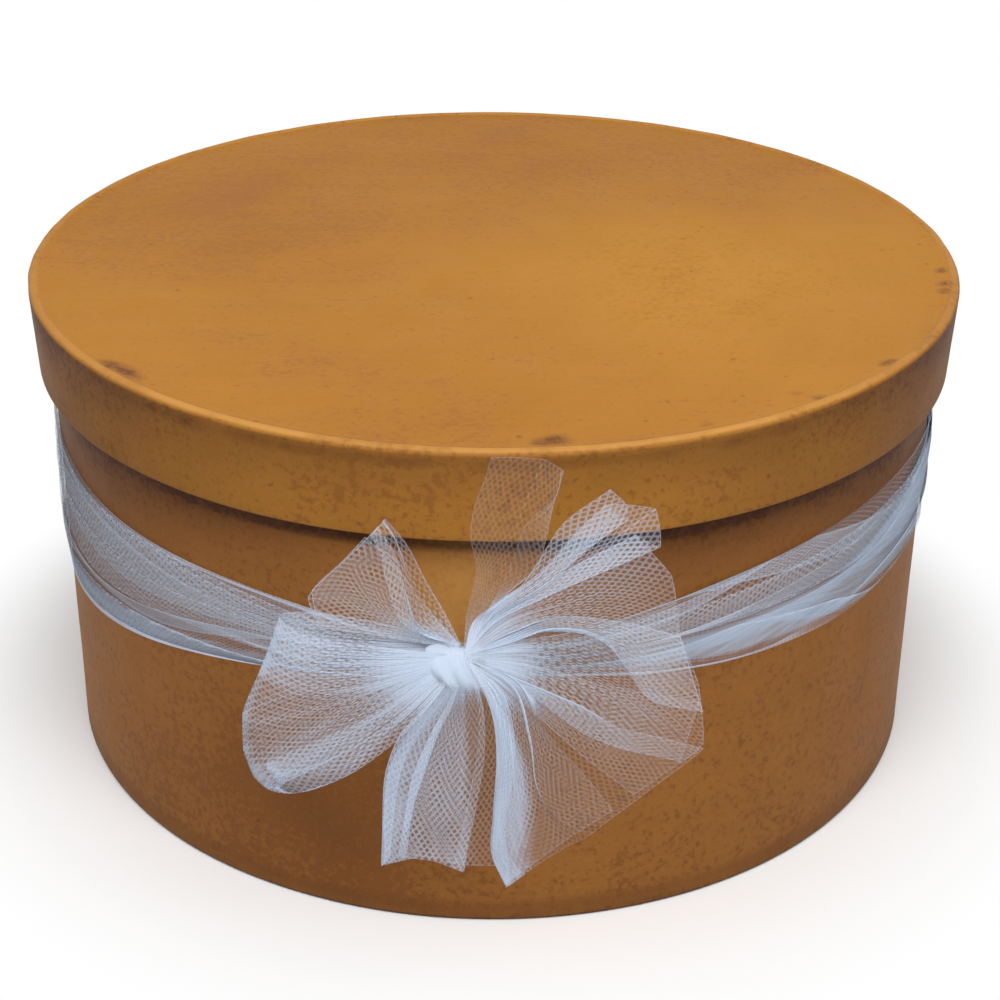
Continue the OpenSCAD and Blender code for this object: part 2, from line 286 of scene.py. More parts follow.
def tulle_net(name):
    """Net of fine threads round small holes, with a haze where more layers of it are drawn together."""
    g = Graph(bpy.data.materials.new(name))
    flat_place = g.attribute("cloth", "Vector")
    cloth = g.scaled(flat_place, (1 / net_pitch, 1 / net_pitch, 1.0))
    corner = (0.5, hexagon_h, 1.0)
    away = []
    for shift in ((0.0, 0.0, 0.0), corner):
        moved = g.vector("ADD", cloth, shift)
        local = g.vector("WRAP", moved, corner, (-0.5, -hexagon_h, -1.0))
        flat = g.vector("ABSOLUTE", local)
        side = g.node("SeparateXYZ", {0: flat}).outputs[0]
        six_sided = g.math("MAXIMUM", side, g.dot(flat, (0.5, hexagon_h, 0.0)))
        four_sided = g.dot(flat, (1.0, 0.5 / hexagon_h, 0.0))
        away.append(g.math("MULTIPLY_ADD", four_sided, 0.7, g.math("MULTIPLY", six_sided, 0.3)))
    hole = g.math("MINIMUM", *away)
    thread = g.range(hole, 0.2, 0.46)
    net = g.math("MULTIPLY", g.math("MULTIPLY", thread, thread_share), g.attribute("sheer"))
    streaks = g.noise(g.scaled(flat_place, (400.0, 45.0, 1.0)), 1, 3, 0.6)
    haze = g.math("MULTIPLY", g.attribute("haze"), g.range(streaks, 0.3, 0.7, 0.7, 1.12))
    in_holes = g.math("SUBTRACT", 1.0, thread)
    open_share = g.range(haze, 0.22, 0.52, 0.78, 0.0)
    haze = g.math("MULTIPLY", haze, g.math("SUBTRACT", 1.0, g.math("MULTIPLY", in_holes, open_share)))
    hem = g.range(g.attribute("rim"), hem_w / 4, hem_w, hem_share, 0.0)
    hem = g.math("MULTIPLY", hem, g.attribute("sheer"))
    haze = g.math("MINIMUM", g.math("MAXIMUM", haze, hem), haze_most)
    clear = g.math("MULTIPLY", g.math("SUBTRACT", 1.0, net), g.math("SUBTRACT", 1.0, haze))
    to_light = g.node("LightPath", {}).outputs["Is Shadow Ray"]
    thin = g.math("SUBTRACT", 1.0, haze)
    shading = g.math("MULTIPLY_ADD", g.math("MULTIPLY", thin, thin), shadow_share, -1.0)
    stopped = g.math("SUBTRACT", 1.0, clear)
    stops = g.math("MULTIPLY", stopped, g.math("MULTIPLY_ADD", to_light, shading, 1.0))
    shade = g.noise(flat_place, 200, 2)
    dense = g.mix(shade, layers_shade, layers_light)
    colour = g.mix(g.range(haze, 0.02, 0.25), thread_colour, dense)
    facing = g.node("NewGeometry", {}).outputs["Normal"]
    outward = g.vector("NORMALIZE", g.scaled(g.place(), (1.0, 1.0, 0.0)))
    upward = g.vector("ADD", g.scaled(outward, (0.3, 0.3, 0.0)), (0.0, 0.0, 0.8))
    lit = g.vector("NORMALIZE", g.vector("ADD", g.scaled(facing, (0.3, 0.3, 0.3)), upward))
    g.put(g.shader.inputs["Specular IOR Level"], 0.2)
    g.put(g.shader.inputs["Roughness"], 0.7)
    return g.finish(Base_Color=colour, Alpha=stops, Normal=lit)


# Lighter colour of paint rubbed thin, also used for painted highlight and painted light
worn_and_lit_paint = srgb(208, 150, 78)
top_paint = painted_paper("lid_top_paint", ochre=srgb(189, 127, 45), yellow=srgb(200, 138, 47),
                          brown=srgb(168, 107, 44), wash=srgb(104, 58, 30),
                          streaks=(14.0, 210.0, 14.0), mottle=1.25)
rim_paint = painted_paper("lid_rim_paint", ochre=srgb(193, 130, 53), yellow=srgb(208, 146, 58),
                          brown=srgb(156, 101, 42), wash=srgb(88, 48, 24),
                          streaks=(40.0, 40.0, 90.0), mottle=1.8)
side_paint = painted_paper("side_paint", ochre=srgb(172, 112, 53), yellow=srgb(190, 128, 60),
                           brown=srgb(142, 89, 42), wash=srgb(84, 46, 24),
                           streaks=(18.0, 18.0, 160.0), mottle=1.9)
board = plain_paper("raw_board", light=srgb(188, 168, 138), dark=srgb(142, 120, 92), fibre_scale=260)
lining = plain_paper("lining_paper", light=srgb(238, 230, 212), dark=srgb(214, 202, 178), fibre_scale=320)
tulle = tulle_net("tulle")


# Painted papers, turned round the box's axis
def arc(middle, r, start, end, steps=8):
    angles = np.radians(np.linspace(start, end, steps + 1))
    return [(middle[0] + r * math.cos(a), middle[1] + r * math.sin(a)) for a in angles]


def run(start, end, spacing):
    """Points from start to just short of end."""
    count = max(1, round(math.dist(start, end) / spacing))
    return [tuple(np.array(start) + (np.array(end) - np.array(start)) * k / count) for k in range(count)]


hand_made = ripple(3, 7, 2.0, 9.0)
dents = ripple(8, 12, 8.0, 34.0)
around = 400


def swell(angle, z):
    """How far the hand-made box stands out of true, in metres."""
    crown = step(lid_top - 4 * MM, lid_top - MM, z)
    dented = (0.04 + 0.3 * crown) * dents(2 * angle, 120 * z)
    return MM * (0.16 * (1 + hand_made(np.cos(angle) * 2 + 20 * z, np.sin(angle) * 2 - 14 * z)) + dented)


def lathe(name, profile, material):
    """Closed strip with this section, wound once round the axis, with its ends a seam apart."""
    profile = np.array(profile)
    gap = seam_gap / body_r / 2
    turn = np.linspace(gap, 2 * math.pi - gap, around + 1)
    angles = seam_angle + turn
    count = len(profile)
    r = np.repeat(profile[None, :, 0], around + 1, 0)
    z = np.repeat(profile[None, :, 1], around + 1, 0)
    a = np.repeat(angles[:, None], count, 1)
    from_seam = np.minimum(turn, 2 * math.pi - turn) * body_r
    lift = seam_lift * np.exp(-from_seam / seam_lift_span)
    r = r + swell(a, z) + lift[:, None]
    points = np.stack([r * np.cos(a), r * np.sin(a), z], -1).reshape(-1, 3)
    faces = []
    for k in range(around):
        for j in range(count):
            n = (j + 1) % count
            faces.append((k * count + j, (k + 1) * count + j, (k + 1) * count + n, k * count + n))
    faces.append(tuple(range(count)))
    faces.append(tuple(around * count + j for j in reversed(range(count))))
    return make_object(name, points, faces, material)


def disc(name, radius, low, high, material, rise_at, rings=72):
    """Round sheet, waved a little. rise_at gives how far its upper side rises at a radius."""
    flat_r = radius - 3.6 * MM
    from_edge = np.array([3, 2.6, 2.2, 1.9, 1.6, 1.3, 1, 0.7, 0.45, 0.2, 0]) * MM
    wave = 0.1 * MM
    radii = np.concatenate([np.linspace(0, flat_r, rings), radius - from_edge])
    angles = np.linspace(0, 2 * math.pi, around, endpoint=False)
    points = [(0, 0, high)]
    for level, level_radii in ((high, radii[1:]), (low, radii[:0:-1])):
        for r in level_radii:
            x = r * np.cos(angles)
            y = r * np.sin(angles)
            z = np.full(around, float(level))
            if level == high:
                z = z + rise_at(r) + wave * hand_made(30 * x, 30 * y)
            points.extend(np.stack([x, y, z], -1))
    points.append((0, 0, low))
    total = 2 * (len(radii) - 1)
    faces = []
    for k in range(around):
        n = (k + 1) % around
        faces.append((0, 1 + k, 1 + n))
        for ring in range(total - 1):
            base = 1 + ring * around
            faces.append((base + k, base + around + k, base + around + n, base + n))
        base = 1 + (total - 1) * around
        faces.append((base + k, len(points) - 1, base + n))
    return make_object(name, points, faces, material)


def points_of(obj):
    co = np.zeros(len(obj.data.vertices) * 3)
    obj.data.vertices.foreach_get("co", co)
    return co.reshape(-1, 3)


def blots(p, marks):
    """Soft round marks on the surface: each is a place in mm, its radius in mm and its strength."""
    total = np.zeros(len(p))
    for place, radius, strength in marks:
        far = np.linalg.norm(p - np.array(place) * MM, axis=1)
        total += strength * np.exp(-(far / (radius * MM)) ** 2)
    return total


def on_lid(angle, radius):
    """Place on top of the lid, in mm, at an angle from the front towards the right."""
    a = math.radians(angle)
    return (radius * math.sin(a), -radius * math.cos(a), lid_top / MM)


def none(p):
    return 0 * p[:, 0]


def angle_of(p):
    """Degrees from the front, towards the right."""
    return np.degrees(np.arctan2(p[:, 0], -p[:, 1]))


wash_most = 1.8
# Most painted shade
painted_shade_and_wash_most = 0.95


def finish_paint(obj, node, body, tone=none, wash=none, wear_and_highlight=none, painted_shade_and_wash=none):
    p = points_of(obj)
    give_numbers(obj, "tone", tone(p))
    give_numbers(obj, "wash", np.clip(wash(p), 0, wash_most))
    give_numbers(obj, "painted_shade_and_wash", np.clip(painted_shade_and_wash(p), 0, painted_shade_and_wash_most))
    give_numbers(obj, "wear_and_highlight", np.clip(wear_and_highlight(p), 0, 1))
    give_numbers(obj, "swirl", swirl_of(p))
    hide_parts(node)
    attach(obj, body)


def swirl_of(p):
    """Coordinates whose noise makes brush marks that go round a place at the left of the lid."""
    x = p[:, 0] + 75 * MM
    y = p[:, 1] + 15 * MM
    r = np.hypot(x, y) + 1e-6
    cells_round = 3.5
    cells_out = 190
    return np.stack([cells_round * x / r, cells_round * y / r, cells_out * r], -1)


# Light and dark patches, listed: the paint's own marks, with a painted light patch and a painted shadow noted
# below
top_tones = [((45, -25, 162), 75, 0.5), ((95, -35, 162), 60, 0.35), ((-105, 20, 162), 60, -0.35),
             ((0, 120, 162), 90, -0.3), ((-50, -105, 162), 50, -0.12), ((-90, -60, 162), 40, 0.1)]
edge_marks = [(on_lid(7, 144), 3.2, 0.9), (on_lid(5, 145), 2.5, 0.7), (on_lid(-51, 147), 3, 0.4),
              (on_lid(-49.5, 146), 2.5, 0.8), (on_lid(-48, 145.5), 2.5, 0.9),
              (on_lid(-46.5, 145.5), 2.5, 0.8), (on_lid(-45, 146), 3, 0.4),
              (on_lid(84, 146.5), 2, 0.7), (on_lid(79.5, 147), 2, 0.8),
              (on_lid(77, 147), 2, 0.8), (on_lid(53, 147), 1.8, 0.7), (on_lid(51.8, 146.5), 1.8, 0.7),
              (on_lid(39, 147), 2, 0.7), (on_lid(38, 141), 2, 0.5), (on_lid(24, 145), 2, 0.5),
              (on_lid(80, 125), 22, 0.14)]
# Tones of the side's paint; the lighter patch at the front below the lid, the last of them, is painted light
side_tones = [((-80, -120, 45), 45, -0.5), ((-40, -140, 30), 30, -0.4), ((60, -130, 70), 60, 0.15),
              ((-120, -85, 60), 40, 0.2), ((120, -80, 30), 50, -0.15), ((-10, -146, 110), 28, 0.8)]
# Dark marks low on the front left: partly brown wash, partly the bow's shadow painted on the side
side_wash_and_bow_shadow = [((-78, -122, 32), 22, 0.2), ((-50, -138, 30), 15, 0.45), ((-62, -132, 38), 10, 0.25),
              ((-36, -142, 24), 10, 0.25)]


def make_side_wrap():
    outer = body_r - corner_r
    inner = room_r + corner_r
    top = body_h - corner_r
    profile = (
        run((body_r - turn_under, 0), (outer, 0), 3 * MM)
        + arc((outer, corner_r), corner_r, -90, 0)
        + run((body_r, corner_r + 2 * MM), (body_r, top), 1.3 * MM)
        + arc((outer, top), corner_r, 0, 90)
        + arc((inner, top), corner_r, 90, 180)
        + [(room_r, body_h - turn_in), (room_r + paper_t, body_h - turn_in)]
        + arc((inner, top), corner_r - paper_t, 180, 90)
        + arc((outer, top), corner_r - paper_t, 90, 0)
        + arc((outer, corner_r), corner_r - paper_t, 0, -90)
        + [(body_r - turn_under, paper_t)]
    )
    obj = lathe("painted_side", profile, side_paint)

    def wash(p):
        # Darker towards the bottom, darkest along the foot, with the dark marks low on the front left
        foot = np.exp(-p[:, 2] / (1.6 * MM))
        low = 0.38 * step(34 * MM, 6 * MM, p[:, 2]) + 0.25 * step(9 * MM, 6 * MM, p[:, 2])
        return 0.9 * foot + low + 0.6 * blots(p, side_wash_and_bow_shadow)

    # Painted shadow of the lid: a dark band just below the lid's edge that fades downwards, deeper and longer
    # at the left and right, painted shade at the far sides, and the dark marks low on the front left
    def painted_shade_and_wash(p):
        drop = np.abs(lid_low - p[:, 2]) / MM
        angle = angle_of(p)
        aside = np.maximum(step(4, 24, angle), step(-14, -40, angle))
        around_side = step(35, 58, np.abs(angle))
        strip = 0.95 * step(6.4 + 1.4 * aside, 4.2 + 1.4 * aside, drop)
        fading = np.exp(-np.maximum(drop - 6, 0) / (13 + 12 * around_side))
        shade = (0.12 + 0.63 * aside + 0.12 * around_side) * fading
        far = 0.12 * step(55, 85, np.abs(angle))
        return np.maximum(strip, shade) + far + 0.35 * blots(p, side_wash_and_bow_shadow)

    # Paint rubbed lighter at the foot and along the top edge, and a painted light patch at the front below
    # the lid
    def wear_and_highlight(p):
        foot = 0.5 * np.exp(-((p[:, 2] - 2.2 * MM) / (0.8 * MM)) ** 2)
        return foot + 0.5 * step(body_h - MM, body_h, p[:, 2]) + blots(p, [((-10, -146, 108), 20, 0.75)])

    finish_paint(obj, "side_wrap", "box", lambda p: blots(p, side_tones) - 0.05, wash, wear_and_highlight, painted_shade_and_wash)
    return obj


def make_rim_wrap():
    low = lid_low + skin_t
    rim_turn = lid_low + turn_in
    end = math.degrees(math.asin((lid_sheet_low - bead_z) / bead_cover_r))
    glue_end = math.degrees(math.asin((lid_sheet_low - bead_z) / bead_glue_r))
    foot = (rim_in(low) + rim_t + skin_t, low)
    crown = (bead_middle[0] + bead_cover_r, bead_z)
    profile = (
        run((rim_in(rim_turn) - skin_t, rim_turn), (rim_in(low) - skin_t, low), 3 * MM)
        + arc((rim_in(low), low), skin_t, 180, 270, 4)
        + arc((rim_in(low) + rim_t, low), skin_t, 270, 360, 4)[:-1]
        + run(foot, crown, 1.6 * MM)
        + arc(bead_middle, bead_cover_r, 0, 180 - end, 16)
        + arc(bead_middle, bead_glue_r, 180 - glue_end, 0, 12)
        + [(rim_in(low) + rim_t + glue_t, low - glue_t), (rim_in(low) - glue_t, low - glue_t),
           (rim_in(rim_turn) - glue_t, rim_turn)]
    )
    obj = lathe("painted_rim", profile, rim_paint)

    def wash(p):
        # Dark wash in drips below the bead, partly painted shade there, a dark line along the rim's lower
        # edge, and the marks at the lid's edge
        under = np.exp(-((p[:, 2] - (lid_top - 4.2 * MM)) / (2.8 * MM)) ** 2)
        foot_line = 0.6 * np.exp(-(p[:, 2] - lid_low) / MM)
        drips = 0.55 + 0.45 * hand_made(angle_of(p) * 0.22, angle_of(p) * 0.05)
        return under * drips + foot_line + 1.8 * blots(p, edge_marks)

    # Paint rubbed lighter on the bead's crest, with a painted highlight on it that is strongest at the front
    def wear_and_highlight(p):
        crest_wear_and_highlight = step(lid_top - 0.9 * MM, lid_top - 0.3 * MM, p[:, 2])
        return crest_wear_and_highlight * (0.4 + 0.6 * step(70, 30, np.abs(angle_of(p))))

    # Painted shade below the bead: darker towards the rim's top, darker round the sides and back away from
    # the front, and a darker band just below the bead that makes its edge look sharper
    def painted_shade_and_wash(p):
        below = step(lid_top - 0.5 * MM, lid_top - 2.2 * MM, p[:, 2])
        shade = 0.22 * step(lid_low + 8 * MM, lid_top - 4 * MM, p[:, 2])
        shoulder = 0.16 * np.exp(-((p[:, 2] - (lid_top - 2.4 * MM)) / (1.3 * MM)) ** 2)
        return below * (0.62 * step(4, 70, np.abs(angle_of(p))) + shade + shoulder)

    finish_paint(obj, "lid_rim_wrap", "lid", none, wash, wear_and_highlight, painted_shade_and_wash)


def make_top_sheet():
    lapped_r = lid_sheet_r + top_lap

    def rise_at(r):
        past = min(r - bead_middle[0], 0)
        sunk = 0.45 * MM * float(step(lapped_r - 0.8 * MM, lapped_r, r))
        flank = bead_z + math.sqrt(max(bead_cover_r ** 2 - past ** 2, 0)) + 0.08 * MM - sunk
        start = 0.25 * MM * float(step(lid_sheet_r - 2.4 * MM, lid_sheet_r - 0.2 * MM, r))
        return max(start, flank - lid_sheet_top)

    obj = disc("painted_top", lapped_r, lid_sheet_low, lid_sheet_top, top_paint, rise_at)

    def wash(p):
        return 1.8 * blots(p, edge_marks)

    finish_paint(obj, "lid_top_sheet", "lid", lambda p: blots(p, top_tones), wash)


def make_base_sheet():
    obj = disc("painted_underside", base_sheet_r, 0, paper_t, side_paint, lambda r: 0.0, rings=16)
    finish_paint(obj, "base_sheet", "box")


side_piece = make_side_wrap()
make_rim_wrap()
make_top_sheet()
make_base_sheet()
for name, material in (("side_wall", board), ("base_board", board), ("lid_board", board), ("lid_rim", board),
                       ("side_lining", lining), ("base_lining", lining), ("lid_rim_lining", lining),
                       ("lid_lining", lining)):
    nodes[name].data.materials.clear()
    nodes[name].data.materials.append(material)


# Tulle, gathered at the knot. Its sizes here are in mm, round the knot: across, forward and up
root_reach = 1.5
rib_apart = 0.8
column_w = 0.17
fold_layers = 4.0


def smooth_through(values, places, at, ease=1.0):
    """Curve through values at rising places, read at other places: smooth at ease 1, straight at ease 0."""
    values = np.asarray(values, float)
    places = np.asarray(places, float)
    gaps = np.diff(places).reshape(-1, *[1] * (values.ndim - 1))
    slopes = np.diff(values, axis=0) / gaps
    tangents = np.empty_like(values)
    tangents[0] = slopes[0]
    tangents[-1] = slopes[-1]
    tangents[1:-1] = (slopes[:-1] * gaps[1:] + slopes[1:] * gaps[:-1]) / (gaps[1:] + gaps[:-1])
    k = np.clip(np.searchsorted(places, at, side="right") - 1, 0, len(places) - 2)
    f = ((at - places[k]) / (places[k + 1] - places[k])).reshape(-1, *[1] * (values.ndim - 1))
    width = gaps[k]
    rise = values[k + 1] - values[k]
    bend_in = width * tangents[k] - rise
    bend_out = rise - width * tangents[k + 1]
    return values[k] + f * rise + ease * f * (1 - f) * ((1 - f) * bend_in + f * bend_out)


def turn_point(heading, reach, out):
    a = math.radians(heading)
    return (reach * math.cos(a), out, reach * math.sin(a))


def fan_ribs(ribs, rows, root_out):
    """Ribs of a sheet that is gathered at one end. Each rib lists a heading, a reach and a place forward."""
    steps = np.linspace(0, 1, rows)
    made = []
    for rib in ribs:
        points = np.array([turn_point(rib[0][0], root_reach, root_out)] + [turn_point(*p) for p in rib])
        lengths = np.concatenate([[0], np.cumsum(np.linalg.norm(np.diff(points, axis=0), axis=1))])
        made.append(smooth_through(points, lengths / lengths[-1], steps))
    return np.array(made)


def loop_ribs(ribs, rows, depth, root_gap):
    """Ribs of a loop: each goes out in front to its fold and comes back behind.
    A rib has the fold's heading, reach and place forward, and how far its heading turns near the knot."""
    t = np.linspace(0, 1, rows)
    out_and_back = np.sin(math.pi * t) ** 0.9
    pinch = 1 - 0.65 * np.exp(-((t - 0.5) / 0.07) ** 2)
    made = []
    for heading, reach, out, turn in ribs:
        a = np.radians(heading + turn * (1 - out_and_back))
        r = root_reach + (reach - root_reach) * out_and_back
        puff = depth * pinch * np.sin(2 * math.pi * t) * np.where(t < 0.5, 1, 0.35)
        forward = out * out_and_back + puff + root_gap * (1 + np.cos(math.pi * t)) / 2
        made.append(np.stack([r * np.cos(a), forward, r * np.sin(a)], -1))
    return np.array(made)


def turning(points, axis):
    """How sharply the sheet bends along one of its directions, in radians per mm."""
    move = np.diff(points, axis=axis)
    size = np.linalg.norm(move, axis=-1)
    way = move / np.maximum(size, 1e-6)[..., None]
    first = [slice(None), slice(None)]
    second = [slice(None), slice(None)]
    first[axis] = slice(None, -1)
    second[axis] = slice(1, None)
    cosine = np.clip((way[tuple(first)] * way[tuple(second)]).sum(-1), -1, 1)
    bend = np.arccos(cosine) / np.maximum((size[tuple(first)] + size[tuple(second)]) / 2, 1e-3)
    pad = [(0, 0), (0, 0)]
    pad[axis] = (1, 1)
    return np.pad(bend, pad, mode="edge")


def lengths_along(sheet):
    """Distance of each point of the sheet from its first row."""
    moves = np.linalg.norm(np.diff(sheet, axis=1), axis=-1)
    return np.concatenate([np.zeros((len(sheet), 1)), np.cumsum(moves, axis=1)], 1)


def between(values, axis):
    """Values of the gaps between points, brought to the points."""
    values = np.moveaxis(values, axis, 0)
    middle = (values[:-1] + values[1:]) / 2
    return np.moveaxis(np.concatenate([values[:1], middle, values[-1:]]), 0, axis)


def haze_of(layers):
    """Share of light stopped by the layers of net that lie behind the first."""
    return 1 - (1 - layer_share) ** np.maximum(layers - 1, 0)


def gathered(name, paths, pleats, pleat_root, seed, thicker, free_end=True, sheer=1.0, drawn=30,
             root_haze=0.85, root_span=18):
    """Sheet through its ribs, with fine pleats that run into the knot.
    thicker gives the layers drawn in besides those of the mesh, from the heading and reach of a place.
    drawn is the most layers that the pleats draw together, root_haze their density within root_span."""
    apart = np.linalg.norm(np.diff(paths, axis=0), axis=-1)
    spread = np.maximum(apart.max(1), rib_apart)
    places = np.concatenate([[0], np.cumsum(spread)])
    width = places[-1]
    columns = max(60, round(width / column_w))
    rows = paths.shape[1]
    s = np.linspace(0, width, columns)
    sheet = smooth_through(paths, places, s, 0.4)
    facing = np.cross(np.gradient(sheet, axis=0), np.gradient(sheet, axis=1))
    facing /= np.maximum(np.linalg.norm(facing, axis=-1), 1e-6)[..., None]
    reach = np.linalg.norm(sheet[..., [0, 2]], axis=-1)
    share = np.clip((reach - root_reach) / (reach.max() - root_reach), 0, 1)
    draw = np.random.RandomState(seed)
    starts = draw.uniform(0, 2 * math.pi, 4)
    turns = 2 * math.pi * s / width
    wave = 0.7 * np.sin(pleats * turns + starts[0] + 2.5 * np.sin(turns + starts[1]))
    wave += 0.3 * np.sin(1.7 * pleats * turns + starts[2] + 2 * np.sin(2 * turns + starts[3]))
    depth = pleat_root * step(0.75, 0.2, share) * step(0.03, 0.2, share) + 0.03 * share
    crumple = ripple(seed + 50, 6, 0.1, 0.35)
    lift = wave[:, None] * depth + 0.8 * share * crumple(s[:, None], lengths_along(sheet))
    piece = np.linalg.norm(np.diff(sheet, axis=0), axis=-1)
    drawn_in = between((width / (columns - 1)) / np.maximum(piece, 0.02), 0)
    folded = step(0.5, 2.5, np.maximum(turning(sheet, 0), turning(sheet, 1)))
    sheet = sheet + facing * lift[..., None]
    along = lengths_along(sheet)
    heading = np.degrees(np.arctan2(sheet[..., 2], sheet[..., 0]))
    layers = np.clip(drawn_in, 1, drawn) + fold_layers * folded + thicker(heading, reach)
    if not free_end:
        layers += fold_layers * step(0.95, 0.995, reach / reach.max(1)[:, None])
    haze = haze_of(layers)
    haze = 1 - (1 - haze) * (1 - root_haze * step(root_span, 5, reach))
    flat_s = np.repeat(s[:, None], rows, 1)
    to_edge = np.minimum(flat_s, width - flat_s) / np.maximum(drawn_in, 1)
    if free_end:
        to_edge = np.minimum(to_edge, along[:, -1:] - along)
    return cloth_object(name, sheet, flat_s, along, haze, to_edge, sheer=sheer)


def single(heading, reach):
    """A sheet with no layers besides those of the mesh."""
    return 0 * reach


def grid_faces(columns, rows):
    faces = []
    for i in range(columns - 1):
        for j in range(rows - 1):
            a = i * rows + j
            faces.append((a, a + rows, a + rows + 1, a + 1))
    return faces


def grid_map(columns, rows, strips=1):
    """Flat map of a grid of faces, one place for each corner, cut across into strips side by side."""
    margin = 0.01
    per_strip = math.ceil((columns - 1) / strips)
    i, j = np.meshgrid(np.arange(columns - 1), np.arange(rows - 1), indexing="ij")
    strip = i // per_strip
    places = []
    for di, dj in ((0, 0), (1, 0), (1, 1), (0, 1)):
        u = (i - strip * per_strip + di) / per_strip
        v = (strip + margin + (1 - 2 * margin) * (j + dj) / (rows - 1)) / strips
        places.append(np.stack([margin + (1 - 2 * margin) * u, v], -1))
    return np.stack(places, 2).reshape(-1, 2)


def cloth_object(name, sheet, flat_s, along, haze, to_edge, strips=1, sheer=1.0):
    columns, rows = sheet.shape[:2]
    x = knot_x + sheet[..., 0] * MM
    y = bow_y - sheet[..., 1] * MM
    z = knot_z + sheet[..., 2] * MM
    points = np.stack([x, y, z], -1).reshape(-1, 3)
    obj = make_object(name, points, grid_faces(columns, rows), tulle, sharp=180)
    cloth = np.stack([flat_s, along, np.zeros_like(along)], -1).reshape(-1, 3)
    give_numbers(obj, "cloth", cloth * MM)
    give_numbers(obj, "haze", haze.ravel())
    give_numbers(obj, "sheer", np.full(haze.size, sheer))
    give_numbers(obj, "rim", to_edge.ravel() * MM)
    layer = obj.data.uv_layers.new(name="OFBake")
    layer.data.foreach_set("uv", grid_map(columns, rows, strips).astype(np.float32).ravel())
    return obj


def finish_tulle(obj, node):
    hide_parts(node)
    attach(obj, "box")


def make_left_loop():
    folds = [(166, 52, 2, -4), (176, 54, 3.5, 4), (186, 58, 4.5, 8), (196, 64.5, 5.5, 3), (205, 69, 6, 4),
             (212.5, 70.5, 6.5, 5), (217, 70.5, 5, 12), (220, 69, 3, 22), (214, 68.5, 0.5, 16)]

    def thicker(heading, reach):
        heading = heading % 360
        low = 184 + 0.35 * (56 - reach)
        ridge = step(208, 213, heading) * step(230, 225, heading)
        crease = np.exp(-((heading - 196) / 1.2) ** 2)
        return 0.7 + 3.6 * step(low + 4, low - 3, heading) + 2.8 * ridge + 1.5 * crease

    ribs = loop_ribs(folds, rows=110, depth=6, root_gap=6.5)
    return gathered("tulle_left_loop", ribs, pleats=56, pleat_root=0.34, seed=11, thicker=thicker,
                    free_end=False, root_span=31)


def make_left_ear():
    ribs = [
        [(114, 12, 2), (115, 23, 2), (115, 38, 2), (117.5, 46, 2)],
        [(128, 13, 1.4), (123, 24, 1.4), (118.5, 38, 1.4), (118, 45.8, 1.6)],
        [(150, 15, 2.2), (132, 23, 2.4), (122, 32, 2.4), (117.5, 42, 2.2), (119, 45.5, 2.2)],
        [(150, 20, 3.6), (133, 31, 3.8), (125.5, 40, 3.6), (124.5, 44.5, 3.4)],
        [(150, 15, 1.6), (131, 24, 1.8), (121.5, 35, 1.8), (120.5, 45.2, 1.8)],
        [(150, 20, 1.8), (142, 34, 2), (140, 43, 2)],
        [(161, 20, 1.5), (157, 34, 1.6), (159, 46, 1.6)],
        [(172, 18, 1.2), (171, 30, 1.2), (171, 41, 1.2)],
        [(160, 20, 0.6), (157, 34, 0.5), (157, 45.5, 0.6)],
        [(145, 20, 0.3), (140, 34, 0.2), (140, 42.8, 0.3)],
        [(128, 20, 0.2), (126, 34, 0.2), (128, 43.6, 0.3)],
    ]
    ribs = fan_ribs(ribs, rows=60, root_out=2)
    return gathered("tulle_left_ear", ribs, pleats=80, pleat_root=0.36, seed=12, thicker=single,
                    sheer=1.2, drawn=4, root_haze=0.3)


def make_upright_end():
    ribs = [
        [(86, 10, 2), (83, 28, 3.6), (87, 37, 4), (86, 47, 3.8), (84, 54, 3.6), (83, 61, 3.4)],
        [(78, 14, 2.4), (76, 30, 4), (79, 46, 4.2), (76.5, 62.8, 3.6)],
        [(70, 14, 2.6), (68, 30, 4.2), (70.5, 46, 4.6), (70.5, 64.3, 4)],
        [(60, 17, 3), (56.5, 26, 4.4), (54, 35, 5), (58, 42, 5.2), (63, 54, 5), (65, 63.5, 4.6)],
        [(64, 18, 4), (66, 27, 5.6), (67, 36, 6.2), (68, 45, 6.2), (66, 50, 6), (63.5, 56, 5.6),
         (65.5, 62.5, 5.2)],
    ]
    ribs = fan_ribs(ribs, rows=72, root_out=3)
    return gathered("tulle_upright_end", ribs, pleats=26, pleat_root=0.3, seed=13, thicker=single,
                    sheer=0.45, drawn=3, root_haze=0.2)


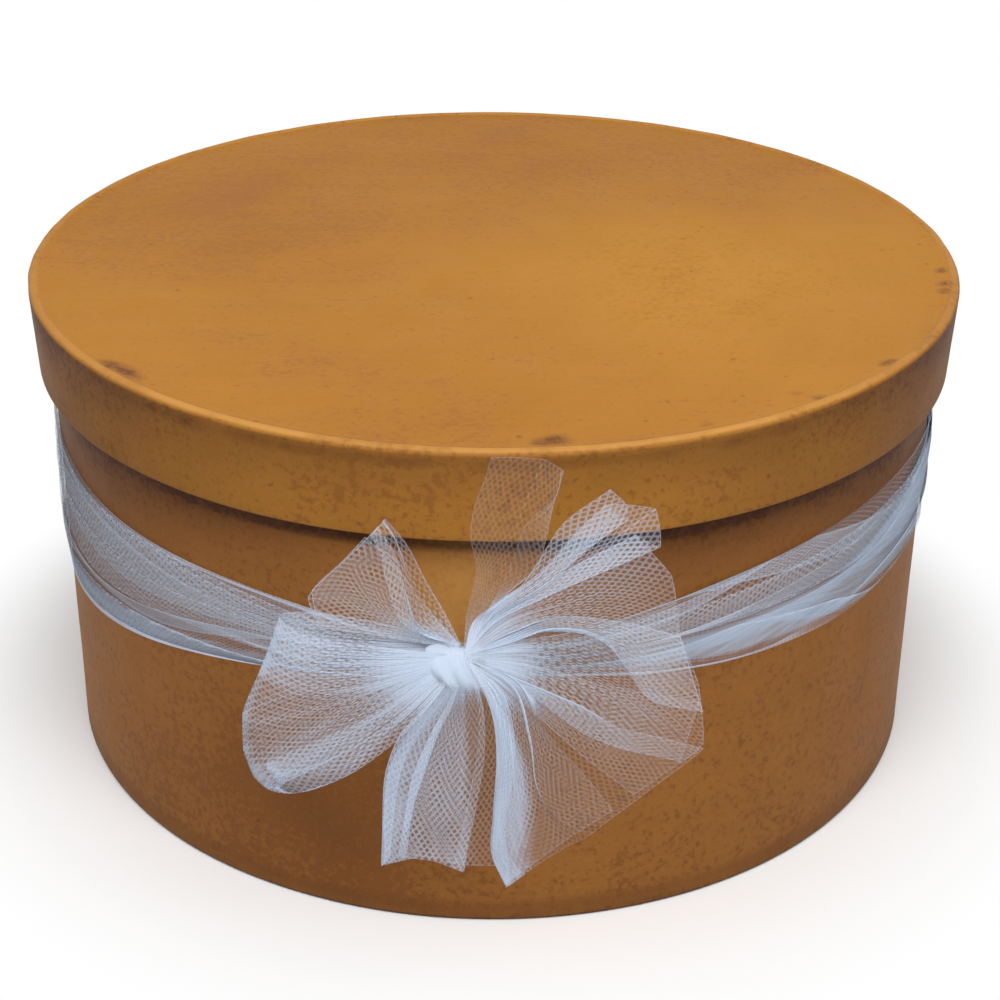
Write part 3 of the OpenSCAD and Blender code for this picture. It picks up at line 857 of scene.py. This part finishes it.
def make_right_end():
    ribs = [
        [(75, 10, 3.5), (62, 18, 5), (56, 28, 7), (57, 37, 7.5), (58, 51, 7.5), (53.5, 66, 6.5)],
        [(60, 14, 5), (50, 33, 8), (49, 51, 8.5), (48, 65.5, 7.5)],
        [(56, 14, 5.5), (47, 33, 8.6), (46.5, 51, 9), (45, 62.5, 8)],
        [(62, 16, 4), (53, 33, 6.5), (52.5, 51, 6.8), (51.5, 61.5, 6.2)],
        [(52, 14, 4.5), (45, 33, 6.6), (43.5, 51, 7.2), (42.5, 70, 7)],
        [(51, 14, 6), (44, 29, 9), (39, 43, 9.8), (36, 56, 9.5), (34.5, 64.5, 9)],
        [(54, 14, 4.5), (48, 29, 6.5), (44, 43, 7), (40, 61, 6.8)],
        [(40, 16, 5), (33, 33, 7.5), (29, 50, 8.2), (26, 63, 8)],
        [(24, 16, 6), (20, 33, 8.6), (14, 50, 9.4), (9, 60.5, 9.4)],
        [(22, 14, 7), (24, 27, 8.8), (12, 40, 9.8), (-1, 45, 10.2), (-12, 53, 10.2), (-13, 69, 9.6)],
        [(30, 16, 6), (28, 30, 7.8), (18, 44, 8.8), (8, 60.5, 8.6)],
        [(8, 18, 6.4), (2, 34, 8.4), (-4, 50, 9), (-6, 66, 8.8)],
        [(-12, 18, 6.6), (-16, 40, 8.6), (-21.5, 73, 9)],
        [(-34, 20, 5), (-36, 45, 6.5), (-29, 71, 7)],
        [(-10, 22, 4.5), (-12, 40, 6.2), (-12, 68, 6.6)],
    ]

    def thicker(heading, reach):
        return 1.4 * step(68, 50, reach) + 1.5 * step(22, 40, heading)

    ribs = fan_ribs(ribs, rows=64, root_out=6)
    return gathered("tulle_right_end", ribs, pleats=140, pleat_root=0.36, seed=14, thicker=thicker,
                    root_span=28)


def make_right_tail():
    ribs = [
        [(-44, 20, 4), (-44, 45, 6.5), (-43, 67, 7)],
        [(-30, 20, 5), (-28, 45, 8), (-26, 71.5, 8.5)],
        [(-24, 18, 7), (-23, 36, 9.5), (-25, 48, 10), (-23, 62, 10), (-22.3, 73.5, 9.5)],
        [(-30, 18, 8), (-33, 36, 11), (-37, 52, 11), (-38, 68, 10)],
        [(-24, 17, 9), (-42, 28, 12.5), (-55, 40, 13.5), (-56, 52, 12.5), (-52, 67, 10.5)],
        [(-28, 16, 9.5), (-48, 28, 13.5), (-61, 43, 14.5), (-62, 54, 13.2), (-58, 68, 10.8)],
        [(-36, 18, 8), (-52, 30, 11.5), (-62, 45, 12), (-64, 56, 11.2), (-64, 69, 9.6)],
        [(-57, 13, 9), (-72, 33, 11), (-80, 52, 10.4), (-82.5, 69, 8.8), (-80.8, 79.3, 7.8)],
        [(-42, 14, 8), (-57, 26, 9.5), (-69, 40, 10), (-77.5, 56, 9.2), (-79.5, 77.5, 7.4)],
        [(-59, 13, 7), (-73, 34, 8.6), (-81, 53, 8.2), (-83, 69, 7), (-81, 79.5, 6.8)],
        [(-60, 20, 5.5), (-66, 36, 7), (-66, 70, 6)],
        [(-46, 20, 4.5), (-48, 45, 6.2), (-50, 67.5, 6)],
    ]

    def thicker(heading, reach):
        side = -84 + 0.4 * np.maximum(69 - reach, 0)
        return 6.5 * step(side + 12, side + 5, heading)

    ribs = fan_ribs(ribs, rows=76, root_out=6.5)
    return gathered("tulle_right_tail", ribs, pleats=116, pleat_root=0.36, seed=15, thicker=thicker,
                    sheer=0.65, root_span=30)


def make_left_tail():
    ribs = [
        [(-64, 14, 1.6), (-71, 36, 2.6), (-78, 55, 2.6), (-81, 76, 2.2)],
        [(-86, 20, 2), (-90, 45, 3), (-91, 74.5, 2.8)],
        [(-98, 20, 2.4), (-103, 42, 3.4), (-100, 72.2, 3.2)],
        [(-114, 14, 2.6), (-123, 34, 4), (-120, 44, 4.2), (-114, 58, 4), (-108, 78, 3.6)],
        [(-107, 13, 4.2), (-116, 30, 5.8), (-115, 40, 6), (-111, 55, 5.4), (-107, 73.5, 4.6)],
        [(-112, 14, 3.4), (-121, 33, 4.8), (-119, 44, 5), (-113.5, 58, 4.7), (-108, 76.5, 4.2)],
        [(-99, 13, 5.6), (-106, 28, 7), (-106, 40, 6.8), (-105.5, 54, 6), (-103.5, 72.6, 5)],
        [(-104, 14, 4.6), (-110, 28, 5.8), (-110, 42, 5.6), (-107.5, 56, 5.2), (-105.5, 73, 4.6)],
        [(-92, 20, 5), (-96, 42, 6), (-97, 72, 5)],
        [(-72, 16, 4.6), (-78, 30, 5.6), (-86, 52, 5.4), (-90, 75, 5)],
        [(-76, 16, 3.8), (-82, 30, 4.6), (-89, 52, 4.4), (-92.5, 74.5, 4.2)],
    ]

    def thicker(heading, reach):
        return 2.8 * step(-86, -91, heading) + 2.4 * step(-104, -107, heading)

    ribs = fan_ribs(ribs, rows=76, root_out=5.5)
    return gathered("tulle_left_tail", ribs, pleats=80, pleat_root=0.34, seed=16, thicker=thicker,
                    root_span=20)


def make_knot():
    """Middle of the bow: the turn of the ribbon that holds it, drawn together, with soft creases along it."""
    across, along = 60, 72
    half_w, half_h, depth = 9, 8.2, 4.8
    turn_length = 30
    s = np.linspace(-1, 1, across)[:, None]
    a = np.radians(np.linspace(-34, 125, along))[None, :]
    crease = 0.2 * np.sin(7 * s + np.sin(2 * a)) + 0.12 * np.sin(13 * s + 1.5 * np.cos(a) + 1)
    edge = 1 - 0.3 * s ** 4
    wide = half_w * s - 2.5
    up = (half_h * edge + crease) * np.sin(a) - 6.6
    out = 5 + (depth * edge + crease) * np.cos(a)
    lean = math.radians(-10)
    x = wide * math.cos(lean) - 0.4 * up
    z = wide * math.sin(lean) + up
    sheet = np.stack([x, out, z], -1)
    flat = np.ones((across, along))
    length = np.repeat(np.linspace(0, turn_length, along)[None, :], across, 0)
    to_right = 1 - step(0, 0.95, s)
    to_left = 1 - 0.7 * step(0.8, 1, -s)
    haze = flat * to_right * (1 - step(-0.05, 0.52, -np.sin(a))) * to_left
    return cloth_object("tulle_knot", sheet, flat * (s + 1) * 20, length, haze, 9 * flat)


def make_neck():
    """Layers of the ribbon between the band and the bow, drawn together in pleats that run into the knot."""
    around_neck, along_neck = 193, 44
    half_w, half_h, wider = 4.8, 4.6, 4.4
    band_gap = 1.2
    a = np.linspace(0, 2 * math.pi, around_neck)[:, None]
    t = np.linspace(0, 1, along_neck)[None, :]
    flare = 1 - step(0, 0.6, t)
    closing = 1 - 0.7 * step(0.8, 1, t)
    pleat = 0.07 * np.sin(13 * a + 2 * np.sin(a) + 2 * t) + 0.04 * np.sin(23 * a + 1.5 * np.sin(2 * a + 1))
    spread = (1 + pleat) * closing
    x = -1.5 + (half_w + wider * flare) * spread * np.cos(a)
    z = -10 + 5.5 * t + half_h * spread * np.sin(a)
    band_r = body_r / MM + band_gap
    back = bow_y / MM + np.sqrt(band_r ** 2 - (knot_x / MM + x) ** 2)
    out = back + (4 - back) * t
    sheet = np.stack([x, out, z], -1)
    flat = np.ones_like(x)
    haze = 0.78 - 0.2 * flare + pleat
    return cloth_object("tulle_neck", sheet, flat * 18 * a, flat * 14 * t, haze, 9 * flat)


# Lower and upper edge of the ribbon from the knot's height, in mm, at even angles from the back
ribbon_edges = [(-26, 16), (-30, 16), (-36, 18), (-39, 17), (-35, 8), (-23, 4), (-15, -3), (-20, 9.5),
                (-20, 17), (-18.5, 18), (-18, 17), (-22, 16)]
ribbon_w = 152
ribbon_r = 147.5


def make_band():
    """Ribbon drawn together round the box, in uneven folds that lie over each other and wander along it.
    The net is drawn together across the ribbon by more than the folds show."""
    stations = 780
    across = 168
    folds = 4.5
    net_drawn = 1.5
    closed = np.array(ribbon_edges[-2:] + ribbon_edges + ribbon_edges[:3], float)
    places = 360.0 / len(ribbon_edges) * np.arange(-2, len(ribbon_edges) + 3)
    angle = np.linspace(0, 360, stations + 1)
    low, high = smooth_through(closed, places, angle).T
    turn = np.radians(angle - 180)[:, None]
    v = np.linspace(0, 1, across)[None, :]
    height = (high - low)[:, None]
    wander = 0.4 * np.sin(2 * turn + 1) + 0.3 * np.sin(3 * turn + 3.5 * v)
    uneven = 0.5 * np.sin(2 * math.pi * 1.4 * v + 0.8 + np.sin(turn))
    uneven = uneven + 0.3 * np.sin(2 * math.pi * 2.7 * v + 2 * turn)
    fold = np.arcsin(0.97 * np.sin(2 * math.pi * (folds * v + wander + uneven))) * 2 / math.pi
    loose = 1 + 0.35 * np.sin(3 * turn + 7 * v) + 0.2 * np.sin(5 * turn - 11 * v + 1)
    lap = 0.2 * height * loose
    ends = step(0, 0.08, v) * step(1, 0.92, v)
    up = low[:, None] + height * v + lap * fold * ends
    up = np.clip(up, low[:, None], high[:, None])
    shell = 0.75 * np.sin(math.pi * (up - low[:, None]) / height)
    r = body_r / MM + 0.9 + shell + 0.75 * fold
    sheet = np.stack([r * np.sin(turn) - knot_x / MM, r * np.cos(turn) + bow_y / MM, up], -1)
    flat_s = np.repeat(v * ribbon_w, stations + 1, 0)
    along = np.repeat(np.radians(angle)[:, None] * ribbon_r, across, 1)
    piece = np.linalg.norm(np.diff(sheet, axis=1), axis=-1)
    drawn_in = between(np.clip(ribbon_w / (across - 1) / np.maximum(piece, 0.05), 1, 5), 1)
    folded = step(0.5, 3, turning(sheet, 1))
    to_edge = np.minimum(flat_s, ribbon_w - flat_s)
    rise = (up - low[:, None]) / height
    right_top = 0.44 + 0.36 * step(0.75, 1.25, turn)
    right_strip = step(0.06, 0.14, rise) * step(right_top + 0.05, right_top - 0.05, rise)
    right_strip = right_strip * step(0.1, 0.5, turn) * step(2.0, 1.3, turn)
    left_strip = step(0.24, 0.17, rise) * step(-0.2, -0.5, turn) * step(-2.4, -1.8, turn)
    beside = step(1.05, 1.35, np.abs(turn)) * step(2.2, 1.8, np.abs(turn))
    layers = drawn_in + 1.6 * folded + 2.2 + 10.0 * right_strip + 4.5 * left_strip + beside
    return cloth_object("tulle_band", sheet, net_drawn * flat_s, along, haze_of(layers), to_edge + 0.2,
                        strips=3, sheer=0.6)


band = make_band()
knot = make_knot()
neck = make_neck()
finish_tulle(knot, "bow_knot")
finish_tulle(neck, "bow_knot")
finish_tulle(band, "ribbon_band")
finish_tulle(make_left_loop(), "bow_left_loop")
finish_tulle(make_left_ear(), "bow_left_ear")
finish_tulle(make_upright_end(), "bow_upright_end")
finish_tulle(make_right_end(), "bow_right_end")
finish_tulle(make_right_tail(), "bow_right_tail")
finish_tulle(make_left_tail(), "bow_left_tail")


# Stage: camera, floor and light
def make_camera():
    data = bpy.data.cameras.new("camera")
    data.sensor_width = 36
    data.lens = 76.63
    camera = bpy.data.objects.new("camera", data)
    place = (0, -0.6643, 0.4164)
    pitch, yaw, roll = 0.4818, 0.0038, 0.0075
    turn = Matrix.Rotation(-yaw, 4, "Z") @ Matrix.Rotation(math.pi / 2 - pitch, 4, "X")
    camera.matrix_world = Matrix.Translation(place) @ turn @ Matrix.Rotation(roll, 4, "Z")
    bpy.context.scene.collection.objects.link(camera)
    bpy.context.scene.camera = camera


def seen_directly(g):
    """1 for what is seen directly, in a mirror or through glass, and 0 for light that bounces."""
    light = g.node("LightPath", {}).outputs
    seen = g.math("ADD", light["Is Camera Ray"], light["Is Glossy Ray"])
    seen = g.math("ADD", seen, light["Is Transmission Ray"])
    return g.math("MINIMUM", seen, 1.0)


def make_floor():
    """Pale floor that keeps the box's shadow close by and goes over into the plain background further out."""
    g = Graph(bpy.data.materials.new("floor"))
    place = g.place()
    grain = g.noise(place, 6, 3)
    far = g.node("VectorMath", {0: place}, operation="LENGTH").outputs["Value"]
    seen = seen_directly(g)
    shadow_from, shadow_to = 0.15, 0.215
    shown = g.math("MULTIPLY", seen, g.range(far, shadow_from, shadow_to))
    bounced = g.mix(grain, grey(0.4), grey(0.44))
    near = g.mix(grain, grey(0.96), grey(1.0))
    colour = g.mix(shown, g.mix(seen, bounced, near), grey(0.0))
    g.put(g.shader.inputs["Roughness"], 0.9)
    g.put(g.shader.inputs["Specular IOR Level"], 0.0)
    g.put(g.shader.inputs["Emission Color"], grey(1.0))
    material = g.finish(Base_Color=colour, Emission_Strength=shown)
    half = 3.0
    corners = [(-half, -half, 0), (half, -half, 0), (half, half, 0), (-half, half, 0)]
    floor = make_object("floor", corners, [(0, 1, 2, 3)], material)
    floor.location.z = -0.05 * MM


def make_world():
    world = bpy.data.worlds.new("studio")
    g = Graph(world)
    back = g.tree.nodes["Background"]
    ambient = 0.3
    g.put(back.inputs["Color"], grey(1.0))
    g.put(back.inputs["Strength"], g.math("MULTIPLY_ADD", seen_directly(g), 1 - ambient, ambient))
    bpy.context.scene.world = world


def make_light(name, place, target, wide, deep, power):
    data = bpy.data.lights.new(name, "AREA")
    data.shape = "RECTANGLE"
    data.size = wide
    data.size_y = deep
    data.energy = power
    light = bpy.data.objects.new(name, data)
    way = Vector(place) - Vector(target)
    light.matrix_world = Matrix.Translation(place) @ way.to_track_quat("Z", "Y").to_matrix().to_4x4()
    light.visible_camera = False
    bpy.context.scene.collection.objects.link(light)
    return light


make_camera()
make_floor()
make_world()
box_middle = (0, 0, 0.1)
make_light("overhead", (0.05, -0.92, 1.41), box_middle, wide=1.8, deep=0.7, power=24)
behind = make_light("behind", (0, 1.5, 0.24), box_middle, wide=1.6, deep=0.4, power=5)
behind.visible_glossy = False
bpy.context.scene.view_settings.view_transform = "Standard"
bpy.context.scene.cycles.transparent_max_bounces = 64
